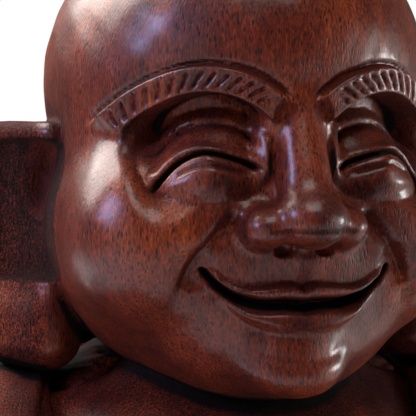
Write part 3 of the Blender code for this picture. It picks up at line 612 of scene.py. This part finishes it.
def folds(p):
    """Depth of the robe's folds, from 0 between them to 1 on a fold's line."""
    across, back, up = np.abs(p[:, 0]), p[:, 1], p[:, 2]
    behind = ramp(back, 18, 32) * ramp(-across, -70, -56) * ramp(up, 8, 16)
    arm = ramp(across, 60, 72) * ramp(up, 50, 60)
    legs = ramp(-up, -60, -50) * ramp(-back, 20, 38) * ramp(up, 3, 8)
    groups = ((BACK_FOLDS, across, behind), (SLEEVE_FOLDS, back, arm), (LAP_FOLDS, across, legs))
    depth = np.zeros(len(p))
    for lines, u, share in groups:
        there = share > 0
        for line in lines:
            _, part, above = along(u[there], up[there], line, 9.0)
            cut = crease(above, 2.0, 8.0) * ramp(1 - part, 0, 0.2)
            if line[0, 0] > 0 or u is back:
                cut = cut * ramp(part, 0, 0.15)
            depth[there] = np.maximum(depth[there], share[there] * cut)
    return depth


def body_surface(p):
    """Signed distance to the body and its robe."""
    torso = blended(TORSO, p, TRUNK_FILLET)
    torso = carved(torso, (DRILLED,), p, 1.0)
    skin = blended((BREAST,), p, 3.0, torso)
    skin = carved(skin, (NAVEL,), p, 1.5)
    cloth = torso + CLOTH_SINK - (CLOTH_THICKNESS + CLOTH_SINK) * ramp(-inside_opening(p), -3, 1)
    cloth = blended(ROBE_LIMBS, p, 10.0, cloth)
    sleeves = blended((CUFF,), p, 2.5, blended(SLEEVE, p, 5.0))
    sleeves = carved(sleeves, SLEEVE_HOLLOW, p, 1.0)
    cloth = merged(cloth, sleeves, 4.0) + FOLD_DEPTH * folds(p)
    lapels = blended(LAPELS, p, 1.0)
    body = merged(skin, cloth, 0.8)
    body = merged(body, lapels, 0.9)
    body = blended((SASH,), p, 1.2, body)
    body = blended((FOREARM, PALM, THUMB), p, 3.0, body)
    return blended((*FINGERS, FOOT, *TOES), p, 1.0, body)


def on_left_side(p):
    """Points, with those of the figure's right side mirrored onto its left."""
    return p * np.where(p[:, :1] < 0, PAIR, 1)


def robe_relief(p):
    """The knife's cut along the lapels and the sash, and the line round each cuff."""
    roll = np.minimum(LAPELS[0].distance(p), np.minimum(LAPELS[1].distance(p), SASH.distance(p)))
    relief = -UNDERCUT * ramp(roll, 0.15, 0.6) * notch(np.maximum(roll - 0.6, 0), 1.4)
    on_side = on_left_side(p)
    along_cuff = (on_side - CUFF.middle) @ CUFF.axis
    on_cuff = ramp(-CUFF.distance(on_side), -1.2, -0.6)
    relief -= 0.9 * notch(along_cuff - CUFF_LINE, 0.9) * on_cuff
    return relief - tool_marks(p)


def head_left_rough(p):
    """Where no rag could rub the head smooth: some of each ear, and all of its hollow."""
    on_side = on_left_side(p)
    ear = 0.75 * ramp(on_side[:, 0], WIDE - 1, WIDE + 2)
    return np.maximum(ear, ramp(-EAR_RECESS.distance(on_side), -1.0, -0.4))


def body_left_rough(p):
    """The same for the body: the chest and the robe round the neck."""
    return 0.3 + 0.3 * ramp(p[:, 2], 100, 118)


def figure_surface(p):
    """Signed distance to head and body together."""
    body = body_surface(p)
    near_head = p[:, 2] > CHIN_HEIGHT - 25
    body[near_head] = np.minimum(body[near_head], head_surface(p[near_head] - HEAD_CENTRE))
    return body


# The blocks: all the forms of a piece as closed shells, joined by a voxel remesh
HEAD_FORMS = (*SKULL, CHIN, *NOSE, NOSE_WING, EAR_SLAB, EAR_LOBE)
HAND_AND_FOOT = (FOREARM, PALM, THUMB, *FINGERS, FOOT, *TOES)
ROLLS = [limb for roll in (*LAPELS, SASH) for limb in roll.limbs]
BODY_FORMS = (*TORSO, BREAST, *ROBE_LIMBS, *SLEEVE, CUFF, *ROLLS, *HAND_AND_FOOT)


def rough_block(name, forms):
    """All the forms as closed shells in one object."""
    whole = bmesh.new()
    for form in forms:
        shell = bmesh.new()
        form.rough_out(shell)
        if form.paired:
            bmesh.ops.mirror(shell, geom=shell.verts[:] + shell.edges[:] + shell.faces[:], axis="X")
        part = bpy.data.meshes.new("form")
        shell.to_mesh(part)
        shell.free()
        whole.from_mesh(part)
        bpy.data.meshes.remove(part)
    mesh = bpy.data.meshes.new(name)
    whole.to_mesh(mesh)
    whole.free()
    block = bpy.data.objects.new(name, mesh)
    bpy.context.scene.collection.objects.link(block)
    return block


def settle(obj):
    """The object's modifiers worked into its mesh."""
    graph = bpy.context.evaluated_depsgraph_get()
    mesh = bpy.data.meshes.new_from_object(obj.evaluated_get(graph))
    obj.modifiers.clear()
    old, obj.data = obj.data, mesh
    bpy.data.meshes.remove(old)


def keep_largest(obj):
    """Loose crumbs and the walls of shut-in hollows dropped, as solid wood has neither."""
    bm = bmesh.new()
    bm.from_mesh(obj.data)
    unseen, pieces = set(bm.verts), []
    while unseen:
        piece, edge_of_piece = set(), [unseen.pop()]
        while edge_of_piece:
            vert = edge_of_piece.pop()
            piece.add(vert)
            fresh = [edge.other_vert(vert) for edge in vert.link_edges if edge.other_vert(vert) in unseen]
            unseen.difference_update(fresh)
            edge_of_piece += fresh
        pieces.append(piece)
    pieces.sort(key=len)
    bmesh.ops.delete(bm, geom=[vert for piece in pieces[:-1] for vert in piece], context="VERTS")
    bm.to_mesh(obj.data)
    bm.free()


def remesh(obj, voxel):
    """The object's shells joined into one skin of even faces."""
    modifier = obj.modifiers.new("Voxels", "REMESH")
    modifier.mode = "VOXEL"
    modifier.voxel_size = voxel
    settle(obj)
    keep_largest(obj)


def of_points(mesh, what):
    """A vector of each of the mesh's points: co or normal."""
    flat = np.empty(len(mesh.vertices) * 3)
    mesh.vertices.foreach_get(what, flat)
    return flat.reshape(-1, 3)


def set_points(mesh, points):
    """The mesh's points moved to these places."""
    mesh.vertices.foreach_set("co", points.ravel())
    mesh.update()


def cut_to(mesh, surface, longest=1.5):
    """Each point that is off the surface moved straight towards it."""
    probe, near_enough = 0.02, 0.005
    points = of_points(mesh, "co")
    here = surface(points)
    off = np.abs(here) > near_enough
    start, here = points[off], here[off]
    slope = np.stack([surface(start + probe * axis) - here for axis in np.eye(3)], 1) / probe
    move = -here[:, None] * slope / np.maximum((slope**2).sum(1), 0.3)[:, None]
    length = np.linalg.norm(move, axis=1)
    points[off] += move * (longest / np.maximum(length, longest))[:, None]
    set_points(mesh, points)


def even_out(mesh, share=0.5):
    """Each point moved towards the middle of its neighbours, along the surface."""
    points, normals = of_points(mesh, "co"), of_points(mesh, "normal")
    ends = np.empty(len(mesh.edges) * 2, np.int64)
    mesh.edges.foreach_get("vertices", ends)
    here, there = np.vstack([ends.reshape(-1, 2), ends.reshape(-1, 2)[:, ::-1]]).T
    count = np.bincount(here, minlength=len(points))
    middle = np.stack([np.bincount(here, points[there, axis], len(points)) for axis in range(3)], 1)
    pull = middle / np.maximum(count, 1)[:, None] - points
    pull -= (pull * normals).sum(1)[:, None] * normals
    set_points(mesh, points + share * pull)


def carve(obj, surface, rounds, share=0.5):
    """The block cut back to the surface, with its points kept evenly spread."""
    for _ in range(rounds):
        cut_to(obj.data, surface)
        even_out(obj.data, share)
    cut_to(obj.data, surface)


def sides_of_faces(mesh):
    """How many sides each face has."""
    sides = np.empty(len(mesh.polygons), np.int32)
    mesh.polygons.foreach_get("loop_total", sides)
    return sides


def triangle_count(mesh):
    """How many triangles the faces come to."""
    return int((sides_of_faces(mesh) - 2).sum())


def coarseness(mesh, surface, relief):
    """How far each face's middle lies off the surface, and its relief off that of its corners."""
    points = of_points(mesh, "co")
    middles = np.empty(len(mesh.polygons) * 3)
    mesh.polygons.foreach_get("center", middles)
    middles = middles.reshape(-1, 3)
    sides = sides_of_faces(mesh)
    corners = np.empty(len(mesh.loops), np.int32)
    mesh.loops.foreach_get("vertex_index", corners)
    face = np.repeat(np.arange(len(sides)), sides)
    at_corners = relief(points)[corners]
    mean = np.bincount(face, at_corners) / sides
    spread = np.bincount(face, np.abs(at_corners - mean[face])) / sides
    return np.abs(surface(middles)) + np.abs(relief(middles) - mean) + 0.5 * spread


def refine(obj, surface, relief, room):
    """The faces that follow the surface worst each cut in four, until the room is used."""
    mesh = obj.data
    off = coarseness(mesh, surface, relief)
    count = int(room / TRIANGLES_PER_CUT)
    if count < FEWEST_CUTS:
        return
    least = max(np.partition(off, -count)[-count], FINE_ENOUGH)
    bm = bmesh.new()
    bm.from_mesh(mesh)
    bm.faces.ensure_lookup_table()
    chosen = [bm.faces[i] for i in np.nonzero(off > least)[0]]
    edges = list({edge for face in chosen for edge in face.edges})
    bmesh.ops.subdivide_edges(bm, edges=edges, cuts=1, use_grid_fill=True)
    bmesh.ops.triangulate(bm, faces=[face for face in bm.faces if len(face.verts) > 4])
    bm.to_mesh(mesh)
    bm.free()


# How far above a point its hollowness is felt for, with the weight of each reach; the longest reach lets
# the head darken the robe under the jaw with painted shade
HOLLOW_REACHES = ((0.8, 0.25), (2.5, 0.3), (7.0, 0.25), (24.0, 0.4))
NEAR_REACH = 5


def hollowness(obj, relief, stands_at):
    """How much of the space above each point is filled by wood: 0 on a bump, 1 deep in a groove; the
    finish darkens the wood by it as painted shade.
    """
    points, normals = of_points(obj.data, "co"), of_points(obj.data, "normal")
    shade = np.zeros(len(points))
    for reach, weight in HOLLOW_REACHES:
        above = points + reach * normals
        room = figure_surface(above + stands_at)
        if reach < NEAR_REACH:
            room -= relief(above)
        shade += weight * np.clip(1 - room / reach, 0, 1)
    return shade


def tell_points(mesh, name, values):
    """A number at each point for the finish to read."""
    layer = mesh.attributes.new(name, "FLOAT", "POINT")
    layer.data.foreach_set("value", values)


def carved_piece(name, forms, surface, relief, unrubbed, voxel, stands_at):
    """A piece roughed out, cut to its surface, made finer where that curves most, and relief added."""
    piece = rough_block(name, forms)
    remesh(piece, ROUGH_VOXEL)
    carve(piece, surface, rounds=4)
    remesh(piece, voxel)
    carve(piece, surface, rounds=2)
    refine(piece, surface, relief, FIRST_CUTS * (MOST_TRIANGLES - triangle_count(piece.data)))
    carve(piece, surface, rounds=1, share=0.3)
    refine(piece, surface, relief, MOST_TRIANGLES - triangle_count(piece.data))
    carve(piece, surface, rounds=1, share=0.3)
    points, normals = of_points(piece.data, "co"), of_points(piece.data, "normal")
    set_points(piece.data, points + relief(points)[:, None] * normals)
    # Hollowness at each point, which the finish paints as shade in grooves, hollows and under the jaw
    tell_points(piece.data, "hollow", hollowness(piece, relief, stands_at))
    tell_points(piece.data, "unrubbed", unrubbed(of_points(piece.data, "co")))
    set_points(piece.data, of_points(piece.data, "co") + stands_at)
    print(name, triangle_count(piece.data), "triangles")
    return piece


# The finish

def node(tree, kind, **values):
    """A shader node with its named properties and inputs set."""
    made = tree.nodes.new("ShaderNode" + kind)
    for name, value in values.items():
        if hasattr(made, name):
            setattr(made, name, value)
        else:
            made.inputs[name.replace("_", " ")].default_value = value
    return made


def link(tree, start, output, end, entry):
    """One node's output joined to another's input."""
    tree.links.new(start.outputs[output], end.inputs[entry])


def color_ramp(tree, stops):
    """A ramp through colours, each with its position."""
    ramp_node = tree.nodes.new("ShaderNodeValToRGB")
    elements = ramp_node.color_ramp.elements
    while len(elements) > 1:
        elements.remove(elements[-1])
    for i, (position, color) in enumerate(stops):
        element = elements[0] if i == 0 else elements.new(position)
        element.position = position
        element.color = (*color, 1)
    return ramp_node


def blend_of(tree, a, b, share):
    """A number between the two nodes' numbers: share of b."""
    mixed = node(tree, "Mix", data_type="FLOAT")
    mixed.inputs[0].default_value = share
    for source, entry in ((a, 2), (b, 3)):
        output = "Fac" if "Fac" in source.outputs else 0
        link(tree, source, output, mixed, entry)
    return mixed


def multiplied(tree, a, b, share):
    """The two nodes' colours multiplied, as far as share."""
    mixed = node(tree, "MixRGB", blend_type="MULTIPLY")
    mixed.inputs["Fac"].default_value = share
    link(tree, a, "Color", mixed, "Color1")
    link(tree, b, "Color", mixed, "Color2")
    return mixed


def grain_noise(tree, place, scale, upright, detail, roughness):
    """Noise drawn out along the trunk's grain, which runs upright."""
    stretched = node(tree, "Mapping", Rotation=(0.05, -0.04, 0), Scale=(1, 1, upright))
    link(tree, place, "Object", stretched, "Vector")
    noise = node(tree, "TexNoise", Scale=scale, Detail=detail, Roughness=roughness)
    link(tree, stretched, "Vector", noise, "Vector")
    return noise


def hardwood():
    """Dark red hardwood, rubbed to a shine: soft growth layers, fine upright grain and dark pores, with
    painted shade darkening it in hollows and under the jaw.
    """
    material = bpy.data.materials.new("polished hardwood")
    material.use_nodes = True
    tree = material.node_tree
    shader = tree.nodes["Principled BSDF"]
    place = node(tree, "TexCoord")

    bands = grain_noise(tree, place, 85, 0.10, 3.0, 0.55)
    clouds = grain_noise(tree, place, 48, 0.6, 3.0, 0.55)
    streaks = grain_noise(tree, place, 900, 0.05, 5.0, 0.7)
    speckle = grain_noise(tree, place, 2300, 0.3, 3.0, 0.7)

    layers = blend_of(tree, bands, clouds, 0.45)
    tone = blend_of(tree, layers, streaks, 0.3)
    color = color_ramp(tree, (
        (0.34, (0.034, 0.0056, 0.0034)), (0.43, (0.066, 0.0096, 0.0050)),
        (0.51, (0.104, 0.0150, 0.0058)), (0.58, (0.165, 0.0270, 0.0066)), (0.67, (0.240, 0.0480, 0.0100)),
    ))
    link(tree, tone, 0, color, "Fac")
    fleck = color_ramp(tree, ((0.36, (0.42, 0.42, 0.44)), (0.52, (1, 1, 1)), (0.66, (1.7, 1.6, 1.5))))
    link(tree, speckle, "Fac", fleck, "Fac")
    flecked = multiplied(tree, color, fleck, 0.9)

    pore_place = node(tree, "Mapping", Scale=(1, 1, 0.3))
    link(tree, place, "Object", pore_place, "Vector")
    pores = node(tree, "TexVoronoi", Scale=1250, Randomness=1.0)
    link(tree, pore_place, "Vector", pores, "Vector")
    wood_or_pore = color_ramp(tree, ((0.20, (0.16, 0.16, 0.18)), (0.34, (1, 1, 1))))
    link(tree, pores, "Distance", wood_or_pore, "Fac")
    pored = multiplied(tree, flecked, wood_or_pore, 0.85)

    # Painted shade: the colour darkened by the hollow attribute, from greyish in shallow grooves to near
    # black in deep hollows
    hollow = node(tree, "Attribute", attribute_name="hollow")
    depth = color_ramp(tree, (
        (0.12, (1, 1, 1)), (0.34, (0.58, 0.47, 0.48)),
        (0.67, (0.50, 0.40, 0.42)), (0.80, (0.03, 0.03, 0.03)),
    ))
    link(tree, hollow, "Fac", depth, "Fac")
    hollow_shade_painted = multiplied(tree, pored, depth, 1.0)
    unrubbed = node(tree, "Attribute", attribute_name="unrubbed")
    dulled = color_ramp(tree, ((0.5, (1, 1, 1)), (1.0, (0.26, 0.36, 0.50))))
    link(tree, unrubbed, "Fac", dulled, "Fac")
    dull = multiplied(tree, hollow_shade_painted, dulled, 1.0)
    dust = grain_noise(tree, place, 2600, 0.7, 2.0, 0.6)
    dust_color = color_ramp(tree, (
        (0.40, (0.30, 0.30, 0.32)), (0.50, (1, 1, 1)), (0.62, (2.6, 2.5, 2.4)),
    ))
    link(tree, dust, "Fac", dust_color, "Fac")
    dusty = multiplied(tree, dull, dust_color, 1.0)
    link(tree, unrubbed, "Fac", dusty, "Fac")
    link(tree, dusty, "Color", shader, "Base Color")

    shaded = node(tree, "MapRange", From_Min=0.10, From_Max=0.45, To_Min=0.40, To_Max=0.80)
    link(tree, hollow, "Fac", shaded, "Value")
    knifed = node(tree, "MapRange", From_Min=0.0, From_Max=1.0, To_Min=0.40, To_Max=0.85)
    link(tree, unrubbed, "Fac", knifed, "Value")
    rough = node(tree, "Math", operation="MAXIMUM")
    link(tree, shaded, "Result", rough, 0)
    link(tree, knifed, "Result", rough, 1)
    link(tree, rough, 0, shader, "Roughness")
    in_open = node(tree, "MapRange", From_Min=0.12, From_Max=0.38, To_Min=0.42, To_Max=0.0)
    link(tree, hollow, "Fac", in_open, "Value")
    well_rubbed = node(tree, "MapRange", From_Min=0.0, From_Max=0.75, To_Min=1.0, To_Max=0.0)
    link(tree, unrubbed, "Fac", well_rubbed, "Value")
    polish = node(tree, "Math", operation="MULTIPLY")
    link(tree, in_open, "Result", polish, 0)
    link(tree, well_rubbed, "Result", polish, 1)
    link(tree, polish, 0, shader, "Coat Weight")
    shader.inputs["Specular IOR Level"].default_value = 0.12
    shader.inputs["Coat Roughness"].default_value = 0.25

    grain_bump = node(tree, "Bump", Strength=0.5, Distance=0.0004)
    link(tree, speckle, "Fac", grain_bump, "Height")
    pore_bump = node(tree, "Bump", Strength=0.5, Distance=0.0002)
    link(tree, wood_or_pore, "Color", pore_bump, "Height")
    link(tree, grain_bump, "Normal", pore_bump, "Normal")
    link(tree, pore_bump, "Normal", shader, "Normal")
    return material


# The floor, lights and camera, in metres, and the camera's sensor in millimetres

CAMERA_AZIMUTH, CAMERA_ELEVATION = -17.0, 3.0
CAMERA_DISTANCE = 0.5
VIEW_WIDTH = 0.0945
SENSOR_WIDTH = 36
FLOOR_HALF = 3.0
FLOOR_GAP = 0.0002
DAYLIGHT = (1.0, 0.93, 0.88)
BLUE_SKY = (0.50, 0.55, 1.0)
WARM_WALL = (1.0, 0.86, 0.76)
CEILING = (1.0, 0.94, 0.88)


def studio_floor():
    """A pale floor that turns white for the camera away from the figure."""
    mesh = bpy.data.meshes.new("floor")
    bm = bmesh.new()
    bmesh.ops.create_grid(bm, x_segments=1, y_segments=1, size=FLOOR_HALF)
    bm.to_mesh(mesh)
    bm.free()
    floor = bpy.data.objects.new("floor", mesh)
    floor.location.z = -FLOOR_GAP
    bpy.context.scene.collection.objects.link(floor)
    material = bpy.data.materials.new("pale floor")
    material.use_nodes = True
    tree = material.node_tree
    shader = tree.nodes["Principled BSDF"]
    shader.inputs["Base Color"].default_value = (0.85, 0.85, 0.85, 1)
    shader.inputs["Roughness"].default_value = 0.8
    glow = node(tree, "Emission", Color=(1, 1, 1, 1), Strength=1.0)
    path = node(tree, "LightPath")
    place = node(tree, "TexCoord")
    distance = node(tree, "VectorMath", operation="LENGTH")
    link(tree, place, "Object", distance, "Vector")
    far = node(tree, "MapRange", From_Min=0.25, From_Max=0.5)
    link(tree, distance, "Value", far, "Value")
    seen_far = node(tree, "Math", operation="MULTIPLY")
    link(tree, path, "Is Camera Ray", seen_far, 0)
    link(tree, far, "Result", seen_far, 1)
    mix = node(tree, "MixShader")
    link(tree, seen_far, 0, mix, 0)
    link(tree, shader, 0, mix, 1)
    link(tree, glow, 0, mix, 2)
    link(tree, mix, 0, tree.nodes["Material Output"], "Surface")
    mesh.materials.append(material)


def studio_world():
    """White where the camera looks past the figure, a dim room for all other light."""
    world = bpy.data.worlds.new("studio")
    bpy.context.scene.world = world
    world.use_nodes = True
    tree = world.node_tree
    out = tree.nodes["World Output"]
    seen = tree.nodes["Background"]
    seen.inputs["Color"].default_value = (1, 1, 1, 1)
    seen.inputs["Strength"].default_value = 1.0
    place = node(tree, "TexCoord")
    split = node(tree, "SeparateXYZ")
    link(tree, place, "Generated", split, "Vector")
    behind = node(tree, "MapRange", From_Min=-0.2, From_Max=0.7, To_Min=0.05, To_Max=0.13)
    link(tree, split, "Y", behind, "Value")
    room = node(tree, "Background", Color=(1.0, 0.92, 0.86, 1))
    link(tree, behind, "Result", room, "Strength")
    path = node(tree, "LightPath")
    mix = node(tree, "MixShader")
    link(tree, path, "Is Camera Ray", mix, 0)
    link(tree, room, "Background", mix, 1)
    link(tree, seen, "Background", mix, 2)
    link(tree, mix, "Shader", out, "Surface")


def aimed(name, data, azimuth, elevation, distance):
    """A lamp or camera that looks at the head, from an angle round it and above it in degrees."""
    held = bpy.data.objects.new(name, data)
    a, e = math.radians(azimuth), math.radians(elevation)
    away = Vector((math.sin(a) * math.cos(e), -math.cos(a) * math.cos(e), math.sin(e)))
    held.location = LOOK_AT + away * distance
    held.rotation_mode = "QUATERNION"
    held.rotation_quaternion = (-away).to_track_quat("-Z", "Y")
    bpy.context.scene.collection.objects.link(held)
    return held


def soft_light(name, azimuth, elevation, distance, size, power, color=(1, 1, 1)):
    """A square lamp aimed at the head."""
    lamp = bpy.data.lights.new(name, "AREA")
    lamp.size = size
    lamp.energy = power
    lamp.color = color
    aimed(name, lamp, azimuth, elevation, distance)


def close_camera():
    """The photograph's view: close on the head, from the figure's right and a little above."""
    camera = bpy.data.cameras.new("camera")
    camera.sensor_width = SENSOR_WIDTH
    camera.lens = SENSOR_WIDTH * CAMERA_DISTANCE / VIEW_WIDTH
    held = aimed("camera", camera, CAMERA_AZIMUTH, CAMERA_ELEVATION, CAMERA_DISTANCE)
    bpy.context.scene.camera = held


def stand_in_frame(piece, offset):
    """A finished piece made metres, moved to where the solid stands and given its wood."""
    points = of_points(piece.data, "co") * MM + offset
    set_points(piece.data, points)
    piece.data.materials.clear()
    piece.data.materials.append(WOOD)
    piece.data.shade_smooth()
    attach(piece, "root")
    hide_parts("statue")


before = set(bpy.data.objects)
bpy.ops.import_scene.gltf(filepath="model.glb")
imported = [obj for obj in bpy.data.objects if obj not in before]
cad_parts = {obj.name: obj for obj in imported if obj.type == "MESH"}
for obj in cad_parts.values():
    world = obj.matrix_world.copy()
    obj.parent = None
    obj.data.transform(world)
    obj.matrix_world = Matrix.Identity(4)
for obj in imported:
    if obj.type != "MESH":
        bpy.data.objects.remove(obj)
cad_low, cad_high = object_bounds()

head = carved_piece(
    "carved_head", HEAD_FORMS, head_surface, face_relief, head_left_rough, HEAD_VOXEL, HEAD_CENTRE,
)
body = carved_piece(
    "carved_body", BODY_FORMS, body_surface, robe_relief, body_left_rough, BODY_VOXEL, np.zeros(3),
)
cut_flat = of_points(body.data, "co")
cut_flat[:, 2] = np.maximum(cut_flat[:, 2], 0)
set_points(body.data, cut_flat)

own = of_points(body.data, "co")
middle = (own.min(0) + own.max(0)) / 2 * MM
offset = np.array(((cad_low.x + cad_high.x) / 2 - middle[0], (cad_low.y + cad_high.y) / 2 - middle[1], 0))
WOOD = hardwood()
stand_in_frame(head, offset)
stand_in_frame(body, offset)

LOOK_AT = Vector((-0.0103, -0.0115 + float(offset[1]), 0.1944))
studio_floor()
studio_world()
soft_light("back window", -140, 42, distance=0.7, size=0.5, power=11.0, color=DAYLIGHT)
soft_light("side window", -86, 24, distance=0.7, size=0.22, power=3.6, color=BLUE_SKY)
soft_light("right lamp", 84, -2, distance=0.7, size=0.14, power=2.4)
soft_light("left wall", -64, -8, distance=0.9, size=0.8, power=1.9, color=WARM_WALL)
soft_light("right wall", 76, -8, distance=0.9, size=0.7, power=1.7, color=WARM_WALL)
soft_light("room", -8, 62, distance=0.9, size=0.5, power=5.2, color=CEILING)
close_camera()

scene = bpy.context.scene
scene.view_settings.view_transform = "Standard"
